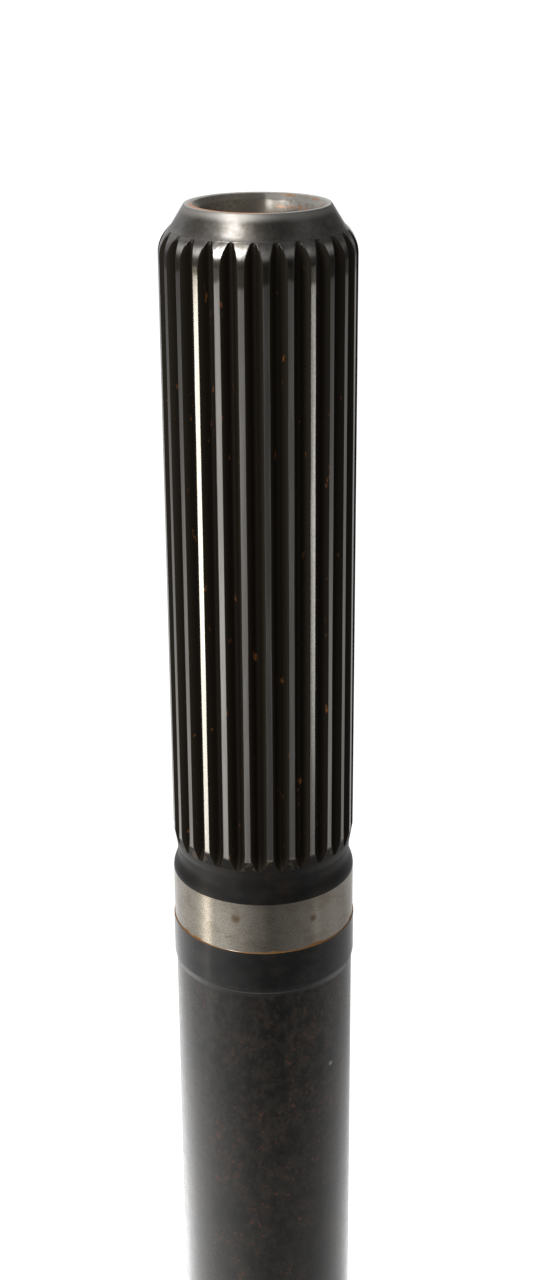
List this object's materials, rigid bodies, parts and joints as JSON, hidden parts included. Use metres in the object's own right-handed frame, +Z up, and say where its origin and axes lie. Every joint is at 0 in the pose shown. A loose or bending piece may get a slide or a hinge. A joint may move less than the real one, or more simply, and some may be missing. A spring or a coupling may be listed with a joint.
{
  "type": "transmission output shaft",
  "caption": "Steel output shaft with a long involute spline and bored tip, a ground seal land, a plain body, a bearing seat and a drive spline.",
  "frame": {"origin": "centre of the flat inner end face, at the bottom of the shaft", "axes": "+Z up the shaft's axis towards the bored tail end; +X through the middle of a tail spline tooth"},
  "size_m": [0.045, 0.045, 0.34],
  "materials": {
    "dark_steel": "dark, lightly oiled and worn"
  },
  "bodies": {
    "root": {"output_shaft": "dark_steel"}
  },
  "joints": []
}
